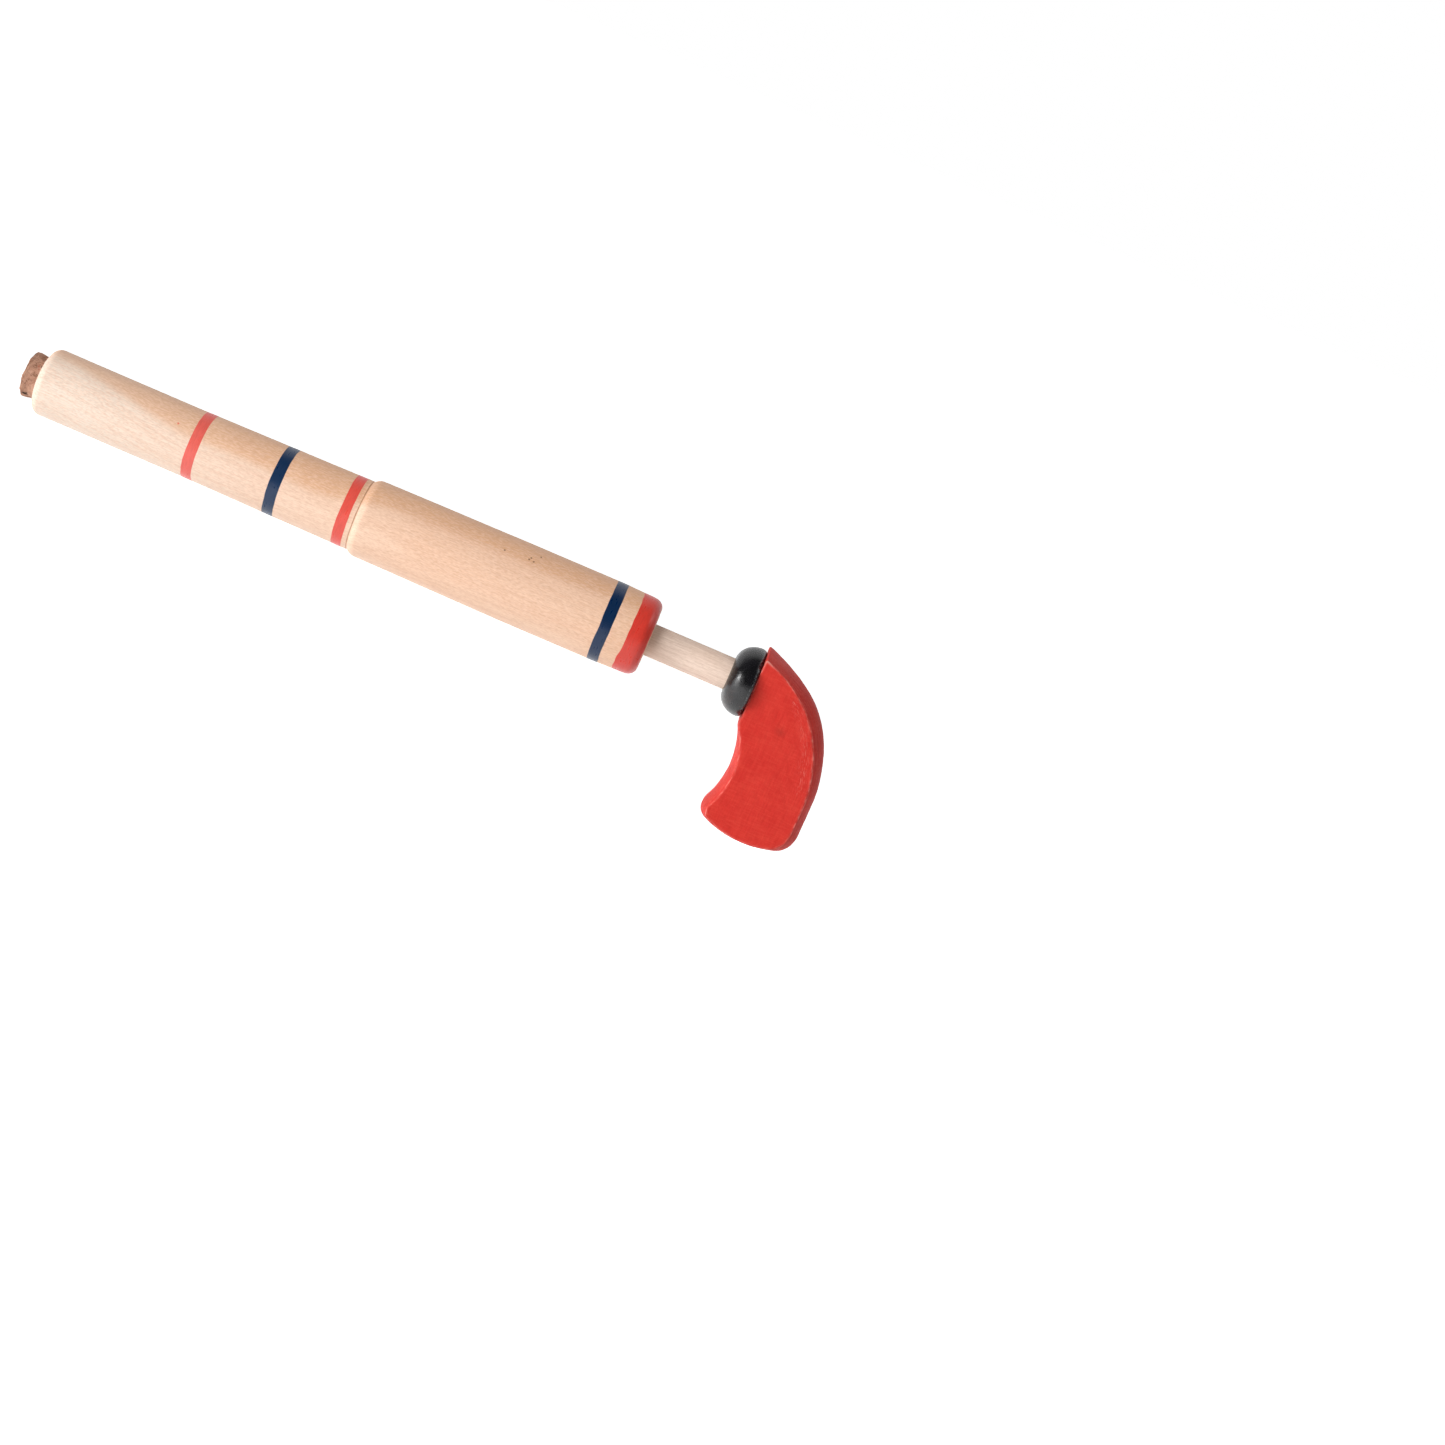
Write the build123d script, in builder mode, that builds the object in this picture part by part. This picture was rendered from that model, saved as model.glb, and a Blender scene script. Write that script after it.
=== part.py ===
from build123d import *
import math
import os

os.makedirs("parts", exist_ok=True)

# A wooden cork popgun, in millimetres. The barrel lies along X, with the cork in its muzzle towards -X
# and the handle behind it towards +X, hanging down towards -Z. The origin is on the barrel's axis, in the
# middle of the straight seat where a storage clip holds the barrel. Every radius is worked out from the
# diameters below, and a clearance or a gap is measured on one side.

# Barrel, from the muzzle to the end face
clip_diameter = 25.0
clip_length = 30.0
tail_length = 13.0
tail_taper = 0.35
end_round = 4.2
swell_length = 49.7
swell_height = 0.45
step_height = 1.1
step_run = 2.6
front_length = 100.8
front_taper = 0.6
muzzle_length = 47.0
muzzle_round = 2.6
groove_width = 0.5
groove_depth = 0.3
bore_diameter = 13.5
mouth_break = 0.4
end_wall = 10.0
rod_clearance = 0.3

# Cork
cork_length = 19.0
cork_overhang = 5.0
cork_clearance = 0.05
cork_inner_taper = 0.5
cork_outer_swell = 0.3
cork_edge = 0.7

# Plunger: rod, piston, seal, washer and screw
rod_diameter = 10.0
rod_exposed = 25.6
tenon_diameter = 6.0
piston_length = 22.0
piston_clearance = 0.25
piston_edge = 0.8
groove_setback = 7.0
piston_to_cork = 3.0
stroke_margin = 0.4
seal_section = 2.0
seal_clearance = 0.08
seal_play = 0.1
washer_diameter = 10.0
washer_thickness = 0.8
screw_shank_diameter = 3.0
screw_length = 14.0
screw_head_diameter = 6.0
screw_head_height = 2.0
screw_head_round = 0.7
slot_width = 0.8
slot_depth = 0.9

# Bumper ring
bumper_diameter = 21.8
bumper_front = 6.5
bumper_back = 1.7
bumper_back_round = 1.3
glue_gap = 0.05

# Handle: D-shaped slab with a finger scoop, its narrow faces crowned across the thickness
handle_thickness = 16.0
handle_depth = 31.0
handle_top = 11.2
handle_drop = 46.8
handle_crown = 2.8
belly_drop = 29.0
spine_reach = 18.7
spine_rise = 2.2
peak_slope = 17.0
scoop_start = 12.6
scoop_depth = 3.0
toe_lead = 1.0
toe_rise = 4.8
heel_rise = 3.3
lip_round = 3.0
toe_round = 3.2
heel_round = 7.0
peak_round = 0.5
arris_round = 0.5
socket_depth = 10.0

# Stations along X
end_face_x = clip_length / 2 + tail_length
step_x = -clip_length / 2 - swell_length
muzzle_x = step_x - front_length
bore_floor_x = end_face_x - end_wall
cork_outer_x = muzzle_x - cork_overhang
cork_inner_x = cork_outer_x + cork_length
bumper_x = end_face_x + rod_exposed
handle_x = bumper_x + bumper_front + bumper_back
rod_end_x = handle_x + socket_depth
push_stroke = rod_exposed - stroke_margin
screw_head_x = cork_inner_x + piston_to_cork + push_stroke
washer_x = screw_head_x + screw_head_height
piston_x = washer_x + washer_thickness
piston_back_x = piston_x + piston_length
pull_stroke = bore_floor_x - piston_back_x - stroke_margin

# Radii
clip_radius = clip_diameter / 2
end_radius = clip_radius - tail_taper
shoulder_radius = clip_radius - swell_height
neck_radius = shoulder_radius - step_height
muzzle_radius = neck_radius - front_taper
bore_radius = bore_diameter / 2
rod_radius = rod_diameter / 2
rod_hole_radius = rod_radius + rod_clearance
tenon_radius = tenon_diameter / 2
glue_radius = rod_radius + glue_gap
piston_radius = bore_radius - piston_clearance
seal_outer_radius = bore_radius - seal_clearance
seal_inner_radius = seal_outer_radius - seal_section
cork_radius = bore_radius - cork_clearance
muzzle_wall = muzzle_radius - bore_radius


# Barrel: one turned piece. The front half is straight behind the muzzle and then widens towards the step.
# A scored line marks the step, and above it the rear half starts with a rounded shoulder.
with BuildPart() as barrel:
    with BuildSketch(Plane.XZ) as barrel_profile:
        with BuildLine() as barrel_outline:
            step_top = (step_x + step_run, shoulder_radius)
            Polyline(
                (bore_floor_x, rod_hole_radius),
                (bore_floor_x, bore_radius),
                (muzzle_x, bore_radius),
                (muzzle_x, muzzle_radius),
                (muzzle_x + muzzle_length, muzzle_radius),
                (step_x - groove_width, neck_radius),
                (step_x - groove_width / 2, neck_radius - groove_depth),
                (step_x, neck_radius),
            )
            TangentArc(step_top, (step_x, neck_radius), tangent=(-1, 0))
            Polyline(
                step_top,
                (-clip_length / 2, clip_radius),
                (clip_length / 2, clip_radius),
                (end_face_x, end_radius),
                (end_face_x, rod_hole_radius),
                (bore_floor_x, rod_hole_radius),
            )
        make_face()
        muzzle_corners = barrel_profile.vertices().group_by(Axis.X)[0].sort_by(Axis.Y)
        end_corners = barrel_profile.vertices().group_by(Axis.X)[-1].sort_by(Axis.Y)
        fillet(muzzle_corners[-1], min(muzzle_round, 0.75 * muzzle_wall))
        fillet(end_corners[-1], end_round)
        chamfer(muzzle_corners[0], mouth_break)
    revolve(axis=Axis.X)

# Cork: tapered inwards from the mouth, and swollen where the mouth no longer holds it.
with BuildPart() as cork:
    with BuildSketch(Plane.XZ):
        with BuildLine():
            swollen_radius = cork_radius + cork_outer_swell
            Polyline(
                (cork_outer_x + cork_edge, swollen_radius),
                (muzzle_x - cork_outer_swell, cork_radius),
                (muzzle_x + cork_edge, cork_radius),
                (cork_inner_x - cork_edge, cork_radius - cork_inner_taper),
                (cork_inner_x, cork_radius - cork_inner_taper - cork_edge),
                (cork_inner_x, 0),
                (cork_outer_x, 0),
                (cork_outer_x, swollen_radius - cork_edge),
            )
            RadiusArc(
                (cork_outer_x, swollen_radius - cork_edge),
                (cork_outer_x + cork_edge, swollen_radius),
                cork_edge,
            )
        make_face()
    revolve(axis=Axis.X)

# Rod: a dowel with a turned tenon in front for the piston, and a pilot hole for the screw.
with BuildPart() as plunger_rod:
    with BuildSketch(Plane.YZ.offset(piston_back_x)):
        Circle(rod_radius)
    extrude(amount=rod_end_x - piston_back_x)
    with BuildSketch(Plane.YZ.offset(piston_x)):
        Circle(tenon_radius)
    extrude(amount=piston_length)
    with BuildSketch(Plane.YZ.offset(piston_x)):
        Circle(screw_shank_diameter / 2)
    extrude(amount=screw_length - washer_thickness, mode=Mode.SUBTRACT)

# Piston: a turned sleeve on the tenon, with a square groove that holds the seal.
with BuildPart() as piston_head:
    groove_radius = seal_inner_radius - seal_play
    groove_half_width = seal_section / 2 + seal_play
    groove_x = piston_x + groove_setback
    with BuildSketch(Plane.XZ):
        with BuildLine():
            Polyline(
                (piston_x, tenon_radius),
                (piston_x, piston_radius - piston_edge),
                (piston_x + piston_edge, piston_radius),
                (groove_x - groove_half_width, piston_radius),
                (groove_x - groove_half_width, groove_radius),
                (groove_x + groove_half_width, groove_radius),
                (groove_x + groove_half_width, piston_radius),
                (piston_back_x - piston_edge, piston_radius),
                (piston_back_x, piston_radius - piston_edge),
                (piston_back_x, tenon_radius),
                close=True,
            )
        make_face()
    revolve(axis=Axis.X)

# Seal: a round rubber ring that slides along the bore and lets the piston turn inside it.
with BuildPart() as piston_seal:
    with BuildSketch(Plane.XZ):
        with Locations((groove_x, seal_outer_radius - seal_section / 2)):
            Circle(seal_section / 2)
    revolve(axis=Axis.X)

# Washer between the screw's head and the piston
with BuildPart() as piston_washer:
    with BuildSketch(Plane.YZ.offset(washer_x)):
        Circle(washer_diameter / 2)
        Circle(screw_shank_diameter / 2, mode=Mode.SUBTRACT)
    extrude(amount=washer_thickness)

# Screw: a slotted pan head and a plain shank that fills the pilot hole
with BuildPart() as piston_screw:
    with BuildSketch(Plane.YZ.offset(screw_head_x)):
        Circle(screw_head_diameter / 2)
    extrude(amount=screw_head_height)
    fillet(piston_screw.edges().group_by(Axis.X)[0], screw_head_round)
    with BuildSketch(Plane.YZ.offset(screw_head_x)):
        Rectangle(screw_head_diameter, slot_width)
    extrude(amount=slot_depth, mode=Mode.SUBTRACT)
    with BuildSketch(Plane.YZ.offset(washer_x)):
        Circle(screw_shank_diameter / 2)
    extrude(amount=screw_length)

# Bumper ring: a quarter-ellipse dome towards the barrel, and a small round towards the handle
with BuildPart() as bumper_ring:
    crest_x = bumper_x + bumper_front
    bumper_radius = bumper_diameter / 2
    with BuildSketch(Plane.XZ):
        with BuildLine():
            dome_height = bumper_radius - glue_radius
            back_radius = bumper_radius - bumper_back_round
            EllipticalCenterArc((crest_x, glue_radius), bumper_front, dome_height, 90, arc_size=90)
            EllipticalCenterArc((crest_x, back_radius), bumper_back, bumper_back_round, 0, arc_size=90)
            Polyline((handle_x, back_radius), (handle_x, glue_radius), (bumper_x, glue_radius))
        make_face()
    revolve(axis=Axis.X)


def handle_section(side, crown):
    """Side outline of the handle on the plane `side` in front of its middle, drawn in by `crown`.

    The front stays flat above the finger scoop. Every other edge moves inwards as the crown grows."""
    peak = (handle_x, handle_top - 0.15 * crown)
    lip = (handle_x, -scoop_start + 0.7 * crown)
    toe = (handle_x - toe_lead + 0.6 * crown, -handle_drop + toe_rise + 0.45 * crown)
    spine = (handle_x + spine_reach - 0.6 * crown, spine_rise - 0.6 * crown)
    belly = (handle_x + handle_depth - crown, -belly_drop)
    heel = (handle_x + handle_depth - crown, -handle_drop + heel_rise + 0.6 * crown)
    base = (handle_x + handle_depth / 2, -handle_drop + 0.7 * crown)
    scoop = (handle_x + scoop_depth + 0.6 * crown, (lip[1] + toe[1]) / 2)
    with BuildSketch(Plane.XZ.offset(side)) as section:
        with BuildLine():
            Line(lip, peak)
            Spline(peak, spine, belly, tangents=((1, -math.tan(math.radians(peak_slope))), (0, -1)))
            Line(belly, heel)
            ThreePointArc(heel, base, toe)
            ThreePointArc(toe, scoop, lip)
        make_face()
        rounds = ((peak, peak_round), (heel, heel_round), (toe, toe_round), (lip, lip_round))
        for corner, radius in rounds:
            fillet(section.vertices().sort_by_distance((*corner, 0))[0], radius)
    return section


# Handle: three outlines joined into a slab with crowned narrow faces, and a blind socket for the rod
near_face = handle_section(handle_thickness / 2, handle_crown)
middle = handle_section(0, 0)
far_face = handle_section(-handle_thickness / 2, handle_crown)
with BuildPart() as handle:
    loft(sections=[near_face.sketch, middle.sketch, far_face.sketch])
    fillet(handle.faces().filter_by(Axis.Y).edges(), arris_round)
    with BuildSketch(Plane.YZ.offset(handle_x)):
        Circle(glue_radius)
    extrude(amount=socket_depth, mode=Mode.SUBTRACT)


pieces = {
    "barrel": barrel,
    "cork": cork,
    "plunger_rod": plunger_rod,
    "piston_head": piston_head,
    "piston_seal": piston_seal,
    "piston_washer": piston_washer,
    "piston_screw": piston_screw,
    "bumper_ring": bumper_ring,
    "handle": handle,
}
for name, piece in pieces.items():
    piece.part.label = name
    export_step(piece.part, f"parts/{name}.step")

print(f"plunger travel from {-push_stroke:.1f} to {pull_stroke:.1f}")
print(f"cork from {cork_outer_x:.1f} to {cork_inner_x:.1f}, screw head at {screw_head_x:.1f}")
print(f"muzzle at {muzzle_x:.1f}, piston at {piston_x:.1f}, handle at {handle_x:.1f}")
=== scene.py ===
import math

import bpy
import numpy as np
from mathutils import Matrix, Vector


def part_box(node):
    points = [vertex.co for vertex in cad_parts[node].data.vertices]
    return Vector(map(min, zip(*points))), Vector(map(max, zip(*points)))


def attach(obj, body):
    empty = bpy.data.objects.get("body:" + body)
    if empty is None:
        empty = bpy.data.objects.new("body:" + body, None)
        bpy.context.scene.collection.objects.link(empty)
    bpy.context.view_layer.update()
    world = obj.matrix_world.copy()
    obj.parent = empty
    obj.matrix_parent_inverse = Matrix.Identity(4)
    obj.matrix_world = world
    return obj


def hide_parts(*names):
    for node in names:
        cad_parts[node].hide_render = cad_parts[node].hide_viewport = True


# The looks of a wooden cork popgun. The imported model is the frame: the barrel lies along X with the cork
# towards -X, and the handle hangs towards -Z. Lengths are written in millimetres and turned to metres
# where a mesh is made.
MM = 0.001

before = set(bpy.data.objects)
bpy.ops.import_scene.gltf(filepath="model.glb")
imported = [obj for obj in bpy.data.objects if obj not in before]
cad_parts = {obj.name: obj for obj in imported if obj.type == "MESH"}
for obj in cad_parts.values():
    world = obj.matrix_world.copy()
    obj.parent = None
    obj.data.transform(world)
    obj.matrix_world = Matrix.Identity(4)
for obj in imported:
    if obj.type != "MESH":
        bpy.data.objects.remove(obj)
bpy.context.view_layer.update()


def span(node_name):
    """Lowest and highest corner of a CAD node, in millimetres."""
    low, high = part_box(node_name)
    return np.array(low) / MM, np.array(high) / MM


# Sizes of the barrel, in millimetres, that its box doesn't give: two radii, lengths along it, and how far
# the shoulder, the neck, the muzzle and the tail each lie below the radius before
BORE, ROD_HOLE = 6.75, 5.3
REAR_LENGTH, REAR_WALL = 92.7, 10
SEAT = 15.0
GROOVE_HALF, GROOVE_DEPTH = 0.25, 0.16
SHOULDER_DROP, NECK_DROP, MUZZLE_DROP, TAIL_DROP = 0.45, 1.1, 0.6, 0.35

barrel_low, barrel_high = span("barrel")
muzzle, tail = barrel_low[0], barrel_high[0]
clip_radius = barrel_high[2]
step = tail - REAR_LENGTH
groove = step - 2 * GROOVE_HALF
shoulder_radius = clip_radius - SHOULDER_DROP
neck = shoulder_radius - NECK_DROP
muzzle_radius = neck - MUZZLE_DROP
tail_radius = clip_radius - TAIL_DROP

# Painted rings: where each starts and ends along the barrel, and its colour. The front red ring is given
# paler and the front blue ring lighter than the rear ones, as painted sheen, which falls more on the front
# of the barrel.
RINGS = (
    (-117.7, -114.4, "e26156"),
    (-91.85, -88.4, "102c4e"),
    (-69.85, -66.65, "e25347"),
    (12.7, 16.2, "06264a"),
    (21.2, tail - 0.12, "d73d31"),
)

# ---------------------------------------------------------------- profiles and surfaces


def straight(start, end, spacing=1.5, guard=0.04):
    """Points from start to end, evenly spaced, with one close to each end that keeps the edge crisp."""
    start, end = np.array(start, float), np.array(end, float)
    length = np.linalg.norm(end - start)
    steps = np.linspace(0, 1, max(2, int(length / spacing) + 1))
    guards = [guard / length, 1 - guard / length] if length > 4 * guard else []
    share = np.unique(np.concatenate([steps, guards]))[:, None]
    return start * (1 - share) + end * share


def rounding(start, corner, end, count=12):
    """A conic from start to end that leaves and arrives along the lines to the corner:
    a circle's arc when both are as far from it."""
    start, corner, end = (np.array(p, float) for p in (start, corner, end))
    ahead, behind = corner - start, end - corner
    cosine = ahead @ behind / np.linalg.norm(ahead) / np.linalg.norm(behind)
    weight = math.sqrt((1 + cosine) / 2)
    t = np.linspace(0, 1, count)[:, None]
    shares = np.hstack([(1 - t) ** 2, 2 * weight * t * (1 - t), t**2])
    return shares @ np.array([start, corner, end]) / shares.sum(axis=1, keepdims=True)


def quarter(centre, along, out, start, stop, count=16):
    """Part of an ellipse about centre: x = centre + along cos(a), r = centre + out sin(a), a in degrees."""
    a = np.radians(np.linspace(start, stop, count))
    return np.stack([centre[0] + along * np.cos(a), centre[1] + out * np.sin(a)], axis=-1)


def profile(*stretches):
    """One line of (x, r) points from several, each starting where the last one ends."""
    return np.vstack([stretches[0], *[s[1:] for s in stretches[1:]]])


def turned(line, columns):
    """A turned surface: each point (x, r) of the line goes round the X axis, so that
    y = -r sin(t) and z = r cos(t), with t evenly spaced over the full turn."""
    t = np.linspace(0, 2 * np.pi, columns, endpoint=False)
    x = np.broadcast_to(line[:, :1], (len(line), columns))
    return np.stack([x, -line[:, 1:] * np.sin(t), line[:, 1:] * np.cos(t)], axis=-1)


def waves(points, wavelength, seed, count=14):
    """Smooth seeded unevenness from about -1 to 1: the scaled sum of plane waves in random directions
    and of nearly one wavelength, each a sine of the distance along its own direction."""
    draw = np.random.default_rng(seed)
    direction = draw.normal(size=(count, points.shape[-1]))
    direction /= np.linalg.norm(direction, axis=1, keepdims=True)
    rate = 2 * np.pi / (wavelength * draw.uniform(0.75, 1.4, count))
    phase = draw.uniform(0, 2 * np.pi, count)
    return np.sin(points @ direction.T * rate + phase).sum(axis=-1) * math.sqrt(2 / count) / 1.6


def outward(grid):
    """Unit normals of a grid whose columns close on themselves: the cross product of the steps
    along the rows and along the columns."""
    down = np.gradient(grid, axis=0)
    around = np.roll(grid, -1, axis=1) - np.roll(grid, 1, axis=1)
    normal = np.cross(around, down)
    return normal / np.maximum(np.linalg.norm(normal, axis=-1, keepdims=True), 1e-12)


def skin(name, grid, body, stands_for, slot, material, ends=None, chart=None, **marks):
    """A closed mesh over a grid of points in millimetres. Its columns close on themselves. Its rows do
    too, or each end closes in a fan of triangles at its end point. Where the volume that the triangles
    enclose comes out negative, all faces are turned round, so that they point outwards. A chart is a UV
    map in metres with one more column than the grid, and each mark is a number for every point."""
    rows, columns = grid.shape[:2]
    index = np.arange(rows * columns).reshape(rows, columns)
    if ends is None:
        index = np.vstack([index, index[:1]])
    points = grid.reshape(-1, 3)
    here, below = index[:-1], index[1:]
    quads = np.stack([here, below, np.roll(below, -1, 1), np.roll(here, -1, 1)], axis=-1).reshape(-1, 4)
    fans = np.zeros((0, 3), int)
    if ends is not None:
        first = np.full(columns, len(points))
        top = np.stack([first, index[0], np.roll(index[0], -1)], axis=-1)
        bottom = np.stack([first + 1, np.roll(index[-1], -1), index[-1]], axis=-1)
        fans = np.vstack([top, bottom])
        points = np.vstack([points, ends])
    triangles = np.vstack([quads[:, :3], quads[:, [0, 2, 3]], fans])
    a, b, c = (points[triangles[:, k]] for k in range(3))
    if (a * np.cross(b, c)).sum() < 0:
        quads, fans = quads[:, ::-1], fans[:, ::-1]
    mesh = bpy.data.meshes.new(name)
    mesh.from_pydata((points * MM).tolist(), [], quads.tolist() + fans.tolist())
    mesh.shade_smooth()
    for mark, values in marks.items():
        values = np.concatenate([np.ravel(values), np.zeros(len(points) - rows * columns)])
        mesh.attributes.new(mark, "FLOAT", "POINT").data.foreach_set("value", values.astype(np.float32))
    if chart is not None:
        corner = np.zeros(len(mesh.loops), np.int64)
        mesh.loops.foreach_get("vertex_index", corner)
        row, column = np.divmod(np.minimum(corner, rows * columns - 1), columns)
        sides = np.concatenate([np.full(len(quads), 4), np.full(len(fans), 3)])
        face = np.repeat(np.arange(len(sides)), sides)
        wraps = (column == 0) & (face % columns == columns - 1)
        uv = chart[row, np.where(wraps, columns, column)]
        mesh.uv_layers.new(name="chart").data.foreach_set("uv", uv.astype(np.float32).ravel())
    mesh.materials.append(material)
    piece = bpy.data.objects.new(name, mesh)
    bpy.context.scene.collection.objects.link(piece)
    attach(piece, body)
    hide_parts(stands_for)


# ---------------------------------------------------------------- material helpers


def linear(colour):
    """A six-digit sRGB hex colour as linear red, green, blue and alpha."""
    parts = [int(colour[k : k + 2], 16) / 255 for k in (0, 2, 4)]
    return (*[p / 12.92 if p <= 0.04045 else ((p + 0.055) / 1.055) ** 2.4 for p in parts], 1.0)


def output(source):
    """The first output in use of a node. A socket or a constant stays as it is."""
    if isinstance(source, bpy.types.Node):
        return next(socket for socket in source.outputs if socket.enabled)
    return source


def node(tree, kind, inputs=None, stops=None, **settings):
    """Adds a shader node and returns it. Settings are its properties, inputs fill its sockets with a
    constant, a hex colour, a socket or another node, and stops are the positions and colours of a ramp."""
    made = tree.nodes.new("ShaderNode" + kind)
    for key, value in settings.items():
        setattr(made, key, value)
    for key, value in (inputs or {}).items():
        value = output(value)
        if isinstance(value, bpy.types.NodeSocket):
            tree.links.new(value, made.inputs[key])
        else:
            made.inputs[key].default_value = linear(value) if isinstance(value, str) else value
    if stops:
        ramp = made.color_ramp
        while len(ramp.elements) < len(stops):
            ramp.elements.new(1.0)
        for element, (position, colour) in zip(ramp.elements, stops):
            element.position = position
            element.color = linear(colour)
    return made


def finish(name, **constants):
    """A new material with one Principled shader, whose uniform values are set on its own sockets, and
    its node tree and object coordinates."""
    material = bpy.data.materials.new(name)
    material.use_nodes = True
    tree = material.node_tree
    for key, value in constants.items():
        tree.nodes["Principled BSDF"].inputs[key.replace("_", " ")].default_value = value
    return material, tree, node(tree, "TexCoord").outputs["Object"]


def dressed(material, colour, height, strength, depth, roughness=None):
    """Joins a colour, a roughness and a height to the material's shader. The height shows as a bump of
    that strength, with a depth in millimetres for each step of one."""
    tree = material.node_tree
    bump = node(tree, "Bump", {"Height": height, "Strength": strength, "Distance": depth * MM})
    for socket, source in (("Base Color", colour), ("Roughness", roughness), ("Normal", bump)):
        if source is not None:
            tree.links.new(output(source), tree.nodes["Principled BSDF"].inputs[socket])
    return material


def tinted(tree, base, *tints):
    """The base colour with tints laid over it in turn: where each shows, from 0 to 1, how strong it is
    there, and its colour."""
    for where, strength, colour in tints:
        share = node(tree, "Math", {0: where, 1: strength}, operation="MULTIPLY")
        base = node(tree, "Mix", {0: share, 6: base, 7: colour}, data_type="RGBA")
    return base


def speckle(tree, place, size, low, high, detail=2.0, rough=0.5, warp=0.0):
    """Noise with one feature per size, three lengths in millimetres, spread from 0 at low to 1 at high."""
    scaled = node(tree, "Mapping", {0: place, 3: [1 / (s * MM) for s in size]})
    look = {"Vector": scaled, "Scale": 1.0, "Detail": detail, "Roughness": rough, "Distortion": warp}
    return node(tree, "MapRange", {0: node(tree, "TexNoise", look), 1: low, 2: high}, clamp=True)


def ragged(tree, place, size, reach):
    """The place shifted by up to reach, in a random direction that changes over each size. Both are in
    millimetres."""
    scaled = node(tree, "Mapping", {0: place, 3: [1 / (s * MM) for s in size]})
    noise = node(tree, "TexNoise", {"Vector": scaled, "Scale": 1.0, "Detail": 2.0}).outputs["Color"]
    centred = node(tree, "VectorMath", {0: noise, 1: (0.5, 0.5, 0.5)}, operation="SUBTRACT")
    moved = {0: centred, 1: (2 * reach * MM,) * 3, 2: place}
    return node(tree, "VectorMath", moved, operation="MULTIPLY_ADD")


def spots(tree, place, centres, radius):
    """One where the place is within a radius of any of the centres, in millimetres, and zero outside."""
    mask = 0.0
    for centre in centres:
        gap = node(tree, "VectorMath", {0: place, 1: [c * MM for c in centre]}, operation="DISTANCE")
        near = node(tree, "MapRange", {0: gap, 1: 1.25 * radius * MM, 2: 0.75 * radius * MM}, clamp=True)
        mask = node(tree, "Math", {0: near, 1: mask}, operation="MAXIMUM")
    return mask


# ---------------------------------------------------------------- materials


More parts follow.
